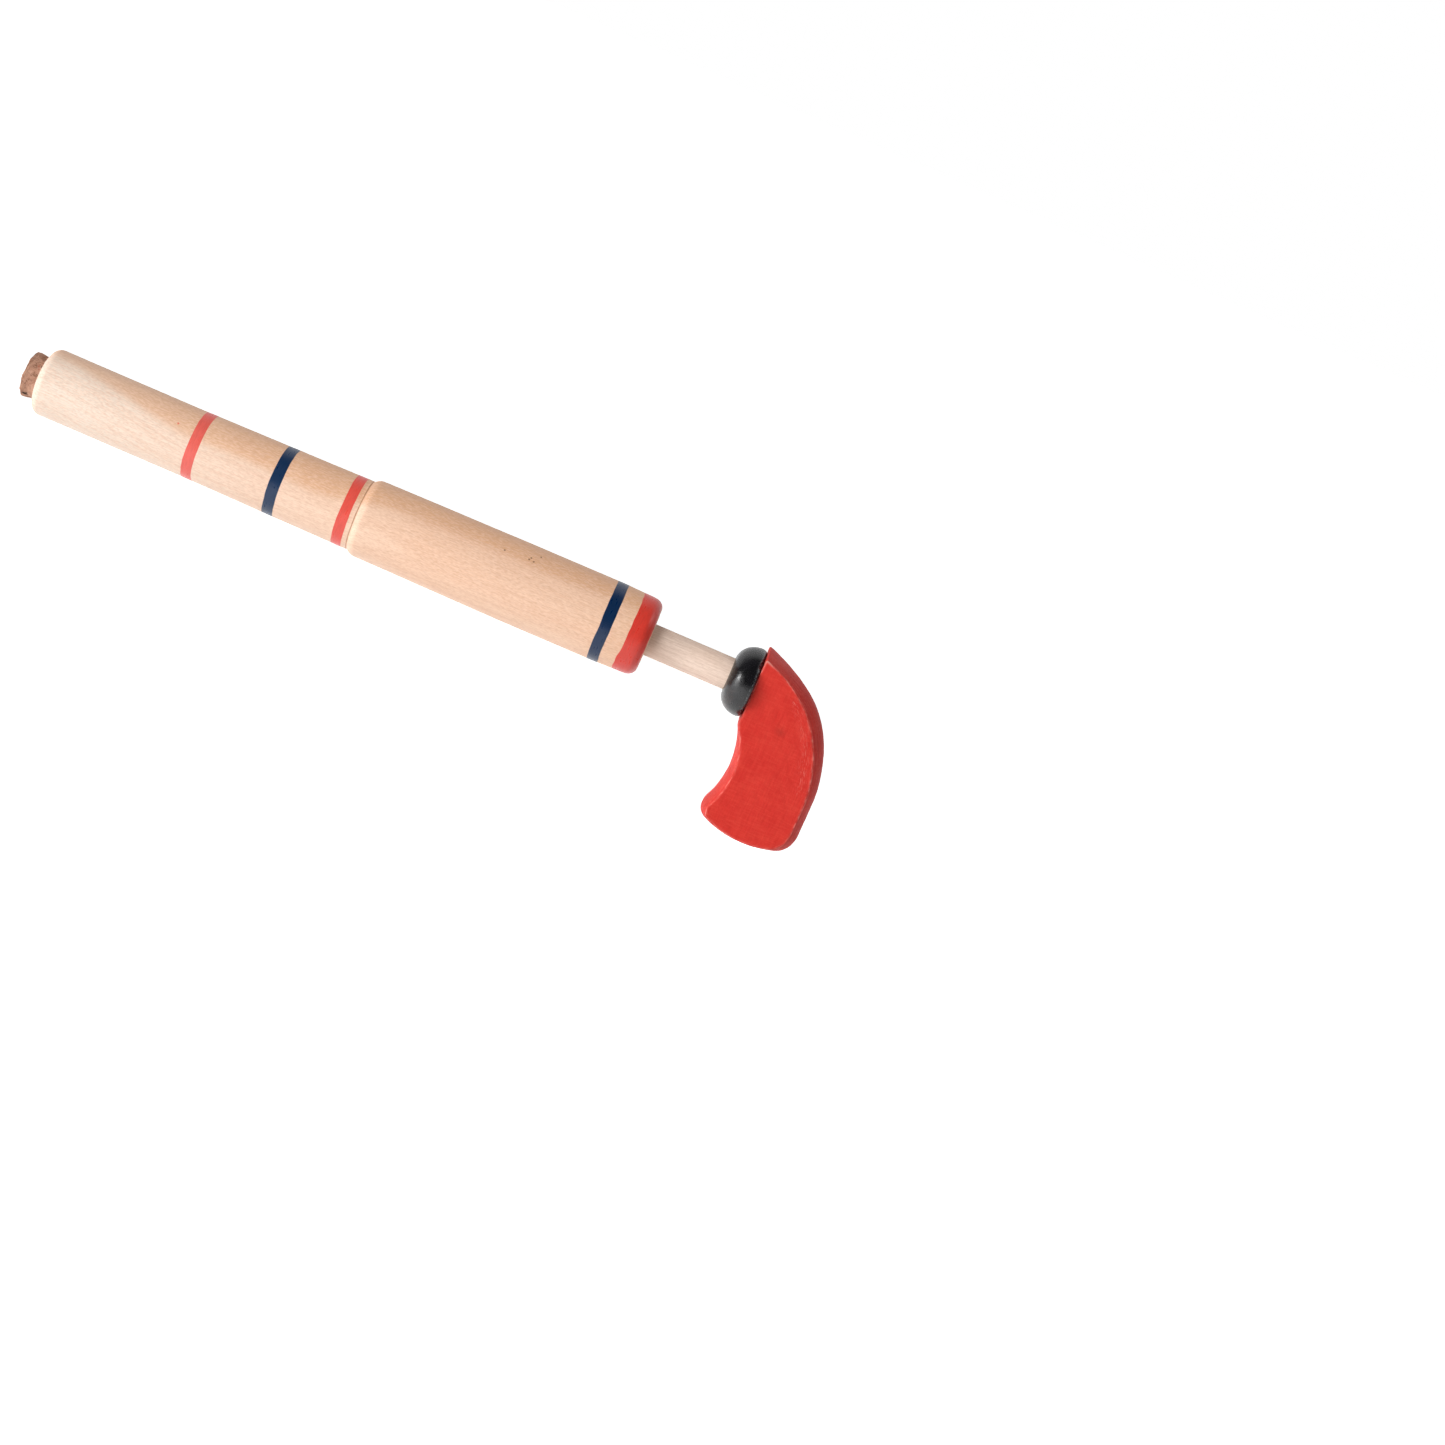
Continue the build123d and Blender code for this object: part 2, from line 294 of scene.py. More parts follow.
def turned_maple():
    """Hard maple turned on a lathe, sanded and given a thin clear lacquer: peach wood with a browner
    growth zone over the top. Towards the muzzle it is painted paler and greyer, as painted light and
    sheen, and towards the tail darker and warmer, as painted shade. The zone's lower border slopes
    along the front half and rises again behind the step, and fine growth lines run beside it. Short
    silky flecks follow the grain: maple's ray flecks, painted paler partly as painted sheen. The
    painted rings are enamel, smoother than the wood, the front two given lighter colours as painted
    sheen, and a few specks of bark and one drop of red paint are left on it. The groove's floor is
    painted darker, as painted shade. Maple's flecks are 0.1 mm wide and are drawn at 0.3 mm to show."""
    material, tree, place = finish("turned_maple_clear_lacquer", Specular_IOR_Level=0.4)
    along = node(tree, "SeparateXYZ", {0: place}).outputs[0]
    wavy = ragged(tree, place, (30, 6, 6), 1.3)
    across_layers = (0, 0.306, 0.952)
    rise = node(tree, "VectorMath", {0: wavy, 1: across_layers}, operation="DOT_PRODUCT")
    # The zone's lower border: where its two slopes start and end along the barrel, and their heights there
    front = {0: along, 1: -162 * MM, 2: -116 * MM, 3: 7.2 * MM, 4: 0.6 * MM}
    rear = {0: along, 1: -80 * MM, 2: -48 * MM, 3: 0.0, 4: 5.2 * MM}
    borders = [node(tree, "MapRange", ends, interpolation_type="SMOOTHSTEP") for ends in (front, rear)]
    border = node(tree, "Math", {0: borders[0], 1: borders[1]}, operation="ADD")
    layer = node(tree, "Math", {0: rise, 1: border}, operation="SUBTRACT")
    zone = {0: layer, 1: -1.3 * MM, 2: 2.2 * MM}
    zone = node(tree, "MapRange", zone, interpolation_type="SMOOTHSTEP")
    fading = node(tree, "MapRange", {0: along, 1: -95 * MM, 2: -155 * MM, 3: 0.8, 4: 0.62})
    layers = node(tree, "CombineXYZ", {0: along, 1: layer})
    growth = speckle(tree, layers, (38, 0.6, 1), 0.46, 0.70, detail=3)
    figure = speckle(tree, place, (60, 4.5, 4.5), 0.3, 0.7, detail=3, warp=0.6)
    streaks = speckle(tree, place, (9, 0.4, 0.4), 0.42, 0.66, detail=3)
    # Flecks along the grain: maple's ray flecks, painted paler partly as painted sheen of their glint
    flecks = speckle(tree, place, (1.4, 0.32, 0.32), 0.42, 0.62, detail=1)
    dashes = speckle(tree, ragged(tree, place, (3, 3, 3), 0.2), (1.2, 0.3, 0.3), 0.48, 0.66, detail=1)
    rough_place = ragged(tree, place, (0.4, 0.4, 0.4), 0.12)
    bark_specks = (
        (-21.3, -7.5, 9.9),
        (-10.8, -4.8, 11.4),
        (-13.7, -7.2, 10.1),
        (-13.3, -6.5, 10.5),
        (-12.2, -7.3, 10.0),
    )
    red_drop = ((-122.6, -8.2, 6.3),)
    wood = tinted(
        tree,
        "e8bc9e",
        (figure, 1.0, "eec8ac"),
        # Paler and greyer towards the muzzle: painted light and sheen where the key lamp falls most
        (node(tree, "MapRange", {0: along, 1: -45 * MM, 2: -150 * MM}), 0.85, "e3d8cb"),
        # Darker and warmer towards the tail: painted shade, away from the key lamp
        (node(tree, "MapRange", {0: along, 1: 4 * MM, 2: 20 * MM}), 0.4, "e2b08a"),
        (node(tree, "Math", {0: zone, 1: fading}, operation="MULTIPLY"), 1.0, "dba67c"),
        (growth, 0.34, "cf9f80"),
        (streaks, 0.28, "d3a688"),
        # Paler flecks: ray flecks and painted sheen together
        (flecks, 0.34, "fadac4"),
        (dashes, 0.32, "cf9f82"),
        (spots(tree, rough_place, bark_specks, 0.3), 0.8, "7a4a2c"),
        (spots(tree, rough_place, red_drop, 0.32), 0.75, "e15143"),
    )
    inside = node(tree, "Attribute", attribute_name="band_edge").outputs["Fac"]
    scored = node(tree, "Attribute", attribute_name="scored").outputs["Fac"]
    covered = node(tree, "MapRange", {0: inside, 1: -0.04, 2: 0.04}, clamp=True)
    # One ramp along the barrel holds the rings' colours. Each starts a little ahead of its ring.
    low, high = -120 * MM, 30 * MM
    share = node(tree, "MapRange", {0: along, 1: low, 2: high}, clamp=True)
    starts = [(start - 2) * MM for start, _, _ in RINGS]
    stops = [(max(0.0, (x - low) / (high - low)), colour) for x, (_, _, colour) in zip(starts, RINGS)]
    colour = node(tree, "ValToRGB", {0: share}, stops=stops)
    colour.color_ramp.interpolation = "CONSTANT"
    brushed = speckle(tree, place, (0.5, 2.4, 2.4), 0.3, 0.75)
    thickness = node(tree, "Math", {0: brushed, 1: 0.3}, operation="MULTIPLY")
    coat = {0: thickness, 6: colour, 7: "b9b9b9"}
    painted = node(tree, "Mix", coat, data_type="RGBA", blend_type="MULTIPLY")
    # The rings' paint covers the wood, and the groove's floor is painted darker, as painted shade
    body = tinted(tree, wood, (covered, 1.0, painted), (scored, 1.0, "b98360"))
    rough = node(tree, "MapRange", {0: flecks, 3: 0.44, 4: 0.56})
    painted_rough = node(tree, "MapRange", {0: brushed, 3: 0.26, 4: 0.42})
    either = node(tree, "Mix", {0: covered, 2: rough, 3: painted_rough}, data_type="FLOAT")
    height = node(tree, "Math", {0: dashes, 1: -0.6, 2: streaks}, operation="MULTIPLY_ADD")
    return dressed(material, body, height, 0.3, 0.03, either)


def natural_cork():
    """Natural cork, punched from bark and ground to shape: warm tan cells with darker growth lines and
    fine cracks, brown pores, a rusty patch by the mouth and a dry matt surface. Its cells of 0.04 mm are
    drawn at 0.35 mm to show."""
    material, tree, place = finish("natural_cork_ground", Specular_IOR_Level=0.15, Roughness=0.85)
    cloud = speckle(tree, place, (2.4, 2.4, 2.4), 0.3, 0.7, detail=3)
    grain = speckle(tree, place, (0.35, 0.35, 0.35), 0.3, 0.72, detail=3, rough=0.7)
    lines = speckle(tree, place, (0.45, 3.0, 0.9), 0.55, 0.72, detail=3, warp=1.0)
    cracks = speckle(tree, place, (1.8, 0.22, 0.5), 0.60, 0.70, detail=2, warp=0.8)
    scaled = node(tree, "Mapping", {0: place, 3: [1 / (s * MM) for s in (2.4, 3.4, 3.4)]})
    field = node(tree, "TexNoise", {"Vector": scaled, "Scale": 1.0, "Detail": 3.0})
    signed = node(tree, "Math", {0: field, 1: 0.5}, operation="SUBTRACT")
    gap = node(tree, "Math", {0: signed}, operation="ABSOLUTE")
    veins = node(tree, "MapRange", {0: gap, 1: 0.018, 2: 0.004}, clamp=True)
    pore = node(tree, "Attribute", attribute_name="pore").outputs["Fac"]
    mouth = muzzle - 0.9
    rust_place = ragged(tree, place, (0.8, 0.8, 0.8), 0.35)
    rust = spots(tree, rust_place, ((mouth, -5.5, 4.0), (mouth - 0.4, -5.0, 4.6)), 0.45)
    bark = tinted(
        tree,
        "a87d66",
        (cloud, 1.0, "c8a089"),
        (grain, 0.4, "935f4e"),
        (lines, 0.4, "84553d"),
        (cracks, 0.65, "573829"),
        (veins, 0.62, "573829"),
        (rust, 0.5, "a04f3a"),
        (pore, 1.0, "1c110b"),
    )
    height = node(tree, "Math", {0: cracks, 1: -1.5, 2: grain}, operation="MULTIPLY_ADD")
    return dressed(material, bark, height, 0.6, 0.12)


def bare_birch(name, pale, dark, line, rough=0.6):
    """Birch dowel, cut and sanded but not lacquered: beige with long fine vessel lines, a little
    soiled by handling, and a dull surface. Birch's vessels are 0.1 mm wide and are drawn at 0.3 mm."""
    material, tree, place = finish(name, Specular_IOR_Level=0.2)
    vessels = speckle(tree, place, (9, 0.3, 0.3), 0.42, 0.68, detail=3)
    tone = speckle(tree, place, (26, 2.4, 2.4), 0.3, 0.7)
    ticks = speckle(tree, place, (1.2, 0.22, 0.22), 0.45, 0.7, detail=1)
    wood = tinted(tree, pale, (tone, 1.0, dark), (vessels, 0.32, line), (ticks, 0.26, line))
    height = node(tree, "Math", {0: vessels, 1: ticks}, operation="ADD")
    dull = node(tree, "MapRange", {0: ticks, 3: rough, 4: rough + 0.12})
    return dressed(material, wood, height, 0.35, -0.05, dull)


def black_lacquer():
    """Black cellulose lacquer dipped over a turned wooden bead: deep black, with a gloss that orange
    peel breaks into sparks, brown wood where the front rim has rubbed, and light grey dots along the
    rear rim."""
    material, tree, place = finish("black_cellulose_lacquer", Specular_IOR_Level=0.56)
    orange_peel = speckle(tree, place, (0.42, 0.42, 0.42), 0.28, 0.72, detail=3, rough=0.6)
    film = speckle(tree, place, (2.6, 2.6, 2.6), 0.3, 0.7, detail=3)
    patches = speckle(tree, place, (0.9, 0.9, 0.9), 0.42, 0.62, detail=3)
    crumbs = speckle(tree, place, (0.3, 0.6, 0.6), 0.5, 0.66, detail=2)
    front_rim = node(tree, "Attribute", attribute_name="rubbed").outputs["Fac"]
    rear_rim = node(tree, "Attribute", attribute_name="dusty").outputs["Fac"]
    rubbed = node(tree, "Math", {0: front_rim, 1: patches}, operation="MULTIPLY")
    # Light grey dots along the rear rim
    dusty = node(tree, "Math", {0: rear_rim, 1: crumbs}, operation="MULTIPLY")
    black = tinted(tree, "08080a", (film, 1.0, "141317"), (rubbed, 0.6, "50372e"), (dusty, 1.0, "77787c"))
    gloss = node(tree, "MapRange", {0: orange_peel, 3: 0.17, 4: 0.32})
    return dressed(material, black, orange_peel, 0.34, 0.06, gloss)


def red_enamel():
    """Red enamel brushed on a beech slab: even and satin on the flat sides, where sanding marks in the
    wood show through as a fine weave, streaked along the grain on the crowned edges, scratched pale near
    the back edge, and a chalky pink in places on the arrises and most at the peak: partly paint rubbed
    thin, partly painted highlight on the rounded edges and the lit peak. The sanding
    marks are 0.1 mm apart and are drawn at 0.5 mm to show."""
    material, tree, place = finish("red_enamel_on_beech", Specular_IOR_Level=0.14)
    chart = node(tree, "TexCoord").outputs["UV"]
    cloud = speckle(tree, place, (8, 8, 8), 0.3, 0.7, detail=3)
    fine = speckle(tree, place, (0.4, 0.5, 0.9), 0.38, 0.66, detail=3)
    level_marks = speckle(tree, place, (3.4, 6, 0.5), 0.46, 0.66)
    upright_marks = speckle(tree, place, (0.5, 6, 3.4), 0.46, 0.66)
    brush = speckle(tree, place, (0.5, 6, 14), 0.4, 0.7, warp=0.3)
    streaks = speckle(tree, chart, (13, 0.34, 1), 0.42, 0.7, detail=3)
    gaps = speckle(tree, chart, (8, 0.28, 1), 0.52, 0.68, detail=3)
    scratches = speckle(tree, ragged(tree, chart, (6, 6, 6), 0.4), (3.0, 0.16, 1), 0.60, 0.68, detail=1)
    patchy = speckle(tree, chart, (2.6, 0.5, 1), 0.46, 0.66, detail=4, rough=0.65)
    names = ("edge_face", "arris", "scuffed", "smudge", "bared")
    marks = [node(tree, "Attribute", attribute_name=name).outputs["Fac"] for name in names]
    edge, arris, scuffed, smudge, bared = marks
    edge_streaks = node(tree, "Math", {0: streaks, 1: edge}, operation="MULTIPLY")
    bare_share = node(tree, "Math", {0: edge, 1: 0.34, 2: 0.02}, operation="MULTIPLY_ADD")
    edge_gaps = node(tree, "Math", {0: gaps, 1: bare_share}, operation="MULTIPLY")
    scuffs = node(tree, "Math", {0: scratches, 1: scuffed}, operation="MULTIPLY")
    # The arrises are painted paler in patches: partly paint rubbed thin, partly painted highlight on the
    # rounded edges
    arris_patches = node(tree, "Math", {0: patchy, 1: 0.75, 2: 0.06}, operation="MULTIPLY_ADD")
    arris_wear_and_highlight = node(tree, "Math", {0: arris, 1: arris_patches}, operation="MULTIPLY")
    red = tinted(
        tree,
        "cd2c25",
        (cloud, 1.0, "d8382e"),
        (fine, 0.22, "b8241c"),
        (level_marks, 0.22, "e6503f"),
        (upright_marks, 0.2, "b8241c"),
        (brush, 0.14, "e6503f"),
        (edge_streaks, 0.5, "a3302e"),
        (edge_gaps, 1.0, "d9776f"),
        (scuffs, 0.55, "f0988b"),
        (smudge, 0.4, "8f2a20"),
        (arris_wear_and_highlight, 1.0, "f49a8e"),
        # Palest at the peak: partly paint rubbed bare, partly painted highlight on the lit top
        (bared, 0.8, "f8b4a6"),
    )
    height = node(tree, "Math", {0: streaks, 1: 0.6, 2: fine}, operation="MULTIPLY_ADD")
    satin = node(tree, "MapRange", {0: fine, 3: 0.52, 4: 0.66})
    return dressed(material, red, height, 0.25, 0.05, satin)


def nitrile_rubber():
    """Nitrile rubber, moulded: charcoal, smooth and faintly greasy, with a little dust."""
    material, tree, place = finish("nitrile_rubber_moulded", Specular_IOR_Level=0.4)
    dust = speckle(tree, place, (0.4, 0.4, 0.4), 0.55, 0.75, detail=3)
    greasy = node(tree, "MapRange", {0: dust, 3: 0.45, 4: 0.7})
    return dressed(material, tinted(tree, "191919", (dust, 0.5, "4a4640")), dust, 0.2, 0.03, greasy)


def zinc_steel():
    """Steel with a clear-passivated zinc plate: bluish silver, slightly cloudy, with tool marks."""
    material, tree, place = finish("zinc_plated_steel", Metallic=1.0)
    cloud = speckle(tree, place, (1.2, 1.2, 1.2), 0.3, 0.7, detail=3)
    marks = speckle(tree, place, (0.12, 1.5, 0.12), 0.35, 0.7)
    dull = node(tree, "MapRange", {0: cloud, 3: 0.25, 4: 0.42})
    return dressed(material, tinted(tree, "b4b8bc", (cloud, 1.0, "cfd1d2")), marks, 0.2, 0.02, dull)


maple = turned_maple()
cork_bark = natural_cork()
birch = bare_birch("bare_birch_dowel", "f7e0d0", "edd3c2", "c2a086")
piston_birch = bare_birch("turned_birch_piston", "dcc3a4", "cbae8c", "a5845f", rough=0.5)
lacquer = black_lacquer()
enamel = red_enamel()
rubber = nitrile_rubber()
zinc = zinc_steel()

# ---------------------------------------------------------------- barrel

BARREL_COLUMNS = 176
ROW_GAP = 0.55
MOUTH_CHAMFER, LIP = 0.4, 2.6
FRONT_STRAIGHT = 47
SHOULDER_RUN = 2.6
END_RUN, END_DROP = 3.4, 2.9
shoulder_reach = (SHOULDER_RUN**2 + NECK_DROP**2) / (2 * SHOULDER_RUN)

# The profile's corners, from the rear wall through the bore, the muzzle and the outside to the tail
wall_front = (tail - REAR_WALL, BORE)
mouth_inner = (muzzle + MOUTH_CHAMFER, BORE)
mouth_outer = (muzzle, BORE + MOUTH_CHAMFER)
lip_inner = (muzzle, muzzle_radius - LIP)
lip_outer = (muzzle + LIP, muzzle_radius)
taper_front = (muzzle + FRONT_STRAIGHT, muzzle_radius)
groove_floor = (groove + GROOVE_HALF, neck - GROOVE_DEPTH)
shoulder_top = (step + SHOULDER_RUN, shoulder_radius)
shoulder_corner = (step + SHOULDER_RUN - shoulder_reach, shoulder_radius)
end_outer = (tail - END_RUN, tail_radius + 0.06)
end_inner = (tail, tail_radius - END_DROP)

barrel_line = profile(
    straight((tail - REAR_WALL, ROD_HOLE), wall_front, 0.5),
    straight(wall_front, mouth_inner, 4),
    straight(mouth_inner, mouth_outer, 0.2),
    straight(mouth_outer, lip_inner, 0.4),
    rounding(lip_inner, (muzzle, muzzle_radius), lip_outer, 14),
    straight(lip_outer, taper_front, ROW_GAP),
    straight(taper_front, (groove, neck), ROW_GAP),
    straight((groove, neck), groove_floor, 0.1),
    straight(groove_floor, (step, neck), 0.1),
    rounding((step, neck), shoulder_corner, shoulder_top, 14),
    straight(shoulder_top, (-SEAT, clip_radius), ROW_GAP),
    straight((-SEAT, clip_radius), (SEAT, clip_radius), ROW_GAP),
    straight((SEAT, clip_radius), end_outer, 0.4),
    rounding(end_outer, (tail, tail_radius), end_inner, 20),
    straight(end_inner, (tail, ROD_HOLE), 0.4),
    straight((tail, ROD_HOLE), (tail - REAR_WALL, ROD_HOLE), 1)[:-1],
)
barrel_grid = turned(barrel_line, BARREL_COLUMNS)

# Painted rings: the distance inside the nearest ring's edge, far below zero away from them. The edges
# wander a little, as a brush does on a turning lathe, more on the rear rings, and the end band was
# dipped, so its edge hangs further forward below.
FAR = -9.0
barrel_x = barrel_grid[..., 0]
from_axis = np.linalg.norm(barrel_grid[..., 1:], axis=-1, keepdims=True)
around = barrel_grid[..., 1:] / from_axis * clip_radius
outside = from_axis[..., 0] > BORE + 1.0
below = np.clip(-around[..., 1] / clip_radius, 0, 1)
inside_ring = np.full(barrel_x.shape, FAR)
for number, (front, back, _) in enumerate(RINGS):
    wander = 0.06 * waves(around, 12, 40 + number) + 0.03 * waves(around, 4, 60 + number)
    drift = 0.06 * waves(around, 14, 50 + number) + 0.03 * waves(around, 4.5, 70 + number)
    if front > 0:
        wander = 2.0 * wander
    if front > SEAT:
        wander = wander + 0.25 - 0.7 / (1 + np.exp(-(below - 0.35) / 0.06))
    between = np.minimum(barrel_x - front - wander, back + drift - barrel_x)
    inside_ring = np.maximum(inside_ring, between)
inside_ring = np.where(outside, inside_ring, FAR)
# A darker line painted along the groove's floor: painted shade in the groove
scored = np.exp(-(((barrel_x - groove - GROOVE_HALF) / 0.2) ** 2)) * outside * 0.5

# The paint's film stands out from the wood, and the lathe leaves faint ridges along and around it. All
# of it stays inside the barrel's box.
film = 0.04 / (1 + np.exp(-inside_ring / 0.06))
lathe = 0.015 * waves(barrel_x[..., None], 2.3, 7) + 0.03 * waves(barrel_grid / (4, 1, 1), 9, 8)
barrel_grid = barrel_grid + outward(barrel_grid) * ((film + lathe - 0.09) * outside)[..., None]
skin(
    "popgun_barrel", barrel_grid, "barrel", "barrel", "barrel_wood", maple,
    band_edge=inside_ring, scored=scored,
)

# ---------------------------------------------------------------- cork

CORK_COLUMNS = 260
CORK_CLEARANCE = 0.05
CORK_FLARE = 0.32
CORE = 0.12
cork_low, cork_high = span("cork")
cork_outer, cork_inner = cork_low[0], cork_high[0]
cork_radius = BORE - CORK_CLEARANCE
rim = cork_radius + CORK_FLARE

# The cork's corners: its flared outer rim, the stretch that the muzzle grips, and the narrower inner end
rim_face = (cork_outer + 0.25, rim - 0.5)
rim_back = (cork_outer + 0.8, rim)
grip_front = (muzzle - 0.3, cork_radius)
grip_back = (muzzle + 0.7, cork_radius)
inner_edge = (cork_inner - 0.7, cork_radius - 0.5)
inner_face = (cork_inner, cork_radius - 1.2)

cork_line = profile(
    straight((cork_outer + 0.02, CORE), rim_face, 0.16),
    rounding(rim_face, (cork_outer + 0.3, rim - 0.02), rim_back, 6),
    straight(rim_back, grip_front, 0.14),
    straight(grip_front, grip_back, 0.14),
    straight(grip_back, inner_edge, 0.3),
    rounding(inner_edge, (cork_inner - 0.05, cork_radius - 0.55), inner_face, 6),
    straight(inner_face, (cork_inner, CORE), 0.3),
)
cork_grid = turned(cork_line, CORK_COLUMNS)


def pores(points, count, seed):
    """Depth and darkness of the cork's pores: each is a bell-shaped dent, longer round the cork than
    along it, at a seeded place on its side or, for three in ten, on its outer face. The last one is the
    large pore near the outer rim, which is longer along the cork."""
    draw = np.random.default_rng(seed)
    angle = draw.uniform(0, 2 * np.pi, count)
    station = draw.uniform(cork_outer, cork_inner, count)
    reach = np.where(draw.random(count) < 0.3, draw.uniform(0, cork_radius, count), cork_radius)
    station = np.where(reach < cork_radius, cork_outer, station)
    centre = np.stack([station, -reach * np.sin(angle), reach * np.cos(angle)], axis=-1)
    size = draw.uniform(0.12, 0.3, count)
    large_angle, large_size = np.radians(141), 0.85
    large_pore = [cork_outer + 2.0, -rim * np.sin(large_angle), rim * np.cos(large_angle)]
    centre = np.vstack([centre, large_pore])
    size = np.append(size, large_size)
    gap = points[:, None, :] - centre[None]
    stretch = np.tile([2.4, 1.0, 1.0], (count + 1, 1))
    stretch[-1, 0] = 0.6
    distance = (gap**2 * stretch).sum(axis=-1) / size**2
    dent = np.exp(-distance)
    return (dent * np.minimum(size, 0.4)).sum(axis=-1), np.clip(dent * 1.6 - 0.3, 0, 1).max(axis=-1)


pore_maps = pores(cork_grid.reshape(-1, 3), 90, 11)
cork_depth, cork_dark = (values.reshape(cork_grid.shape[:2]) for values in pore_maps)
exposed = 1 / (1 + np.exp((cork_grid[..., 0] - muzzle + 0.5) / 0.15))

# The mouth end was ground by hand, so it has nine uneven flats: each cuts in to a chord of the circle.
FLATS = 9
cork_angle = np.arctan2(-cork_grid[..., 1], cork_grid[..., 2])
around_flat = (cork_angle + 0.09 * np.sin(2 * cork_angle + 1.3)) % (2 * np.pi / FLATS) - np.pi / FLATS
flats = 0.5 * rim * (1 - math.cos(np.pi / FLATS) / np.cos(around_flat))
lumps = 0.10 * waves(cork_grid, 3.2, 12) + 0.05 * waves(cork_grid, 0.9, 13)
cork_shift = lumps * (0.06 + 0.9 * exposed) - (0.06 + flats) * exposed - 0.7 * cork_depth - 0.02
cork_grid = cork_grid + outward(cork_grid) * cork_shift[..., None]
cork_ends = np.array([[cork_outer + 0.12, 0, 0], [cork_inner, 0, 0]])
skin("popgun_cork", cork_grid, "cork", "cork", "cork", cork_bark, ends=cork_ends, pore=cork_dark)

# ---------------------------------------------------------------- plunger rod

# The screw's pilot hole, the thin tenon that carries the piston, and the rod behind it
ROD_COLUMNS = 96
PILOT, PILOT_DEPTH = 1.5, 13.2
TENON = 3.0
ROD_CORE = 0.2
rod_low, rod_high = span("plunger_rod")
rod_front, rod_back = rod_low[0], rod_high[0]
piston_back = span("piston_head")[1][0]
rod_radius = rod_high[1]
pilot_floor = rod_front + PILOT_DEPTH
rod_line = profile(
    straight((pilot_floor, ROD_CORE), (pilot_floor, PILOT), 0.5),
    straight((pilot_floor, PILOT), (rod_front, PILOT), 3),
    straight((rod_front, PILOT), (rod_front, TENON), 0.5),
    straight((rod_front, TENON), (piston_back, TENON), 3),
    straight((piston_back, TENON), (piston_back, rod_radius), 0.5),
    straight((piston_back, rod_radius), (rod_back, rod_radius), 1.5),
    straight((rod_back, rod_radius), (rod_back, ROD_CORE), 1),
)
rod_grid = turned(rod_line, ROD_COLUMNS)
sanded = 0.012 * waves(rod_grid / (8, 1, 1), 2.5, 21) - 0.012
rod_grid = rod_grid + outward(rod_grid) * sanded[..., None]
rod_ends = np.array([[pilot_floor, 0, 0], [rod_back, 0, 0]])
skin("popgun_rod", rod_grid, "plunger", "plunger_rod", "rod_wood", birch, ends=rod_ends)

# ---------------------------------------------------------------- bumper ring

# A dome towards the barrel and a small rounding behind its crest, glued round the rod
RING_COLUMNS = 144
DOME = 6.5
REAR_RUN, REAR_DROP = 1.7, 1.3
GLUE = 0.05
ring_low, ring_high = span("bumper_ring")
ring_front, ring_back = ring_low[0], ring_high[0]
ring_radius = ring_high[2]
glued = rod_radius + GLUE
crest = ring_front + DOME
ring_line = profile(
    quarter((crest, glued), -DOME, ring_radius - glued, 0, 90, 40),
    quarter((crest, ring_radius - REAR_DROP), REAR_RUN, REAR_DROP, 90, 0, 16),
    straight((ring_back, ring_radius - REAR_DROP), (ring_back, glued), 0.4),
    straight((ring_back, glued), (ring_front, glued), 1)[:-1],
)
ring_grid = turned(ring_line, RING_COLUMNS)
dipped = 0.03 * waves(ring_grid, 6, 31) + 0.012 * waves(ring_grid, 1.4, 32) - 0.05
ring_grid = ring_grid + outward(ring_grid) * dipped[..., None]
front_rim = np.exp(-(((ring_grid[..., 0] - ring_front - 2.2) / 1.3) ** 2))
low_front = front_rim * np.clip(-ring_grid[..., 2] / 8, 0, 1)
rear_rim = np.exp(-(((ring_grid[..., 0] - ring_back + 0.75) / 0.28) ** 2))
skin(
    "popgun_stop_ring", ring_grid, "plunger", "bumper_ring", "black_lacquer", lacquer,
    rubbed=low_front, dusty=rear_rim,
)

# ---------------------------------------------------------------- handle

# From the box: the handle's front, half its thickness, and how far back it reaches. Then how much its
# narrow faces crown, and how far it stands above and hangs below the rod's axis.
handle_low, handle_high = span("handle")
FRONT = handle_low[0]
HALF = handle_high[1]
DEPTH = handle_high[0] - FRONT
CROWN = 2.8
TOP, DROP = 11.2, 46.8


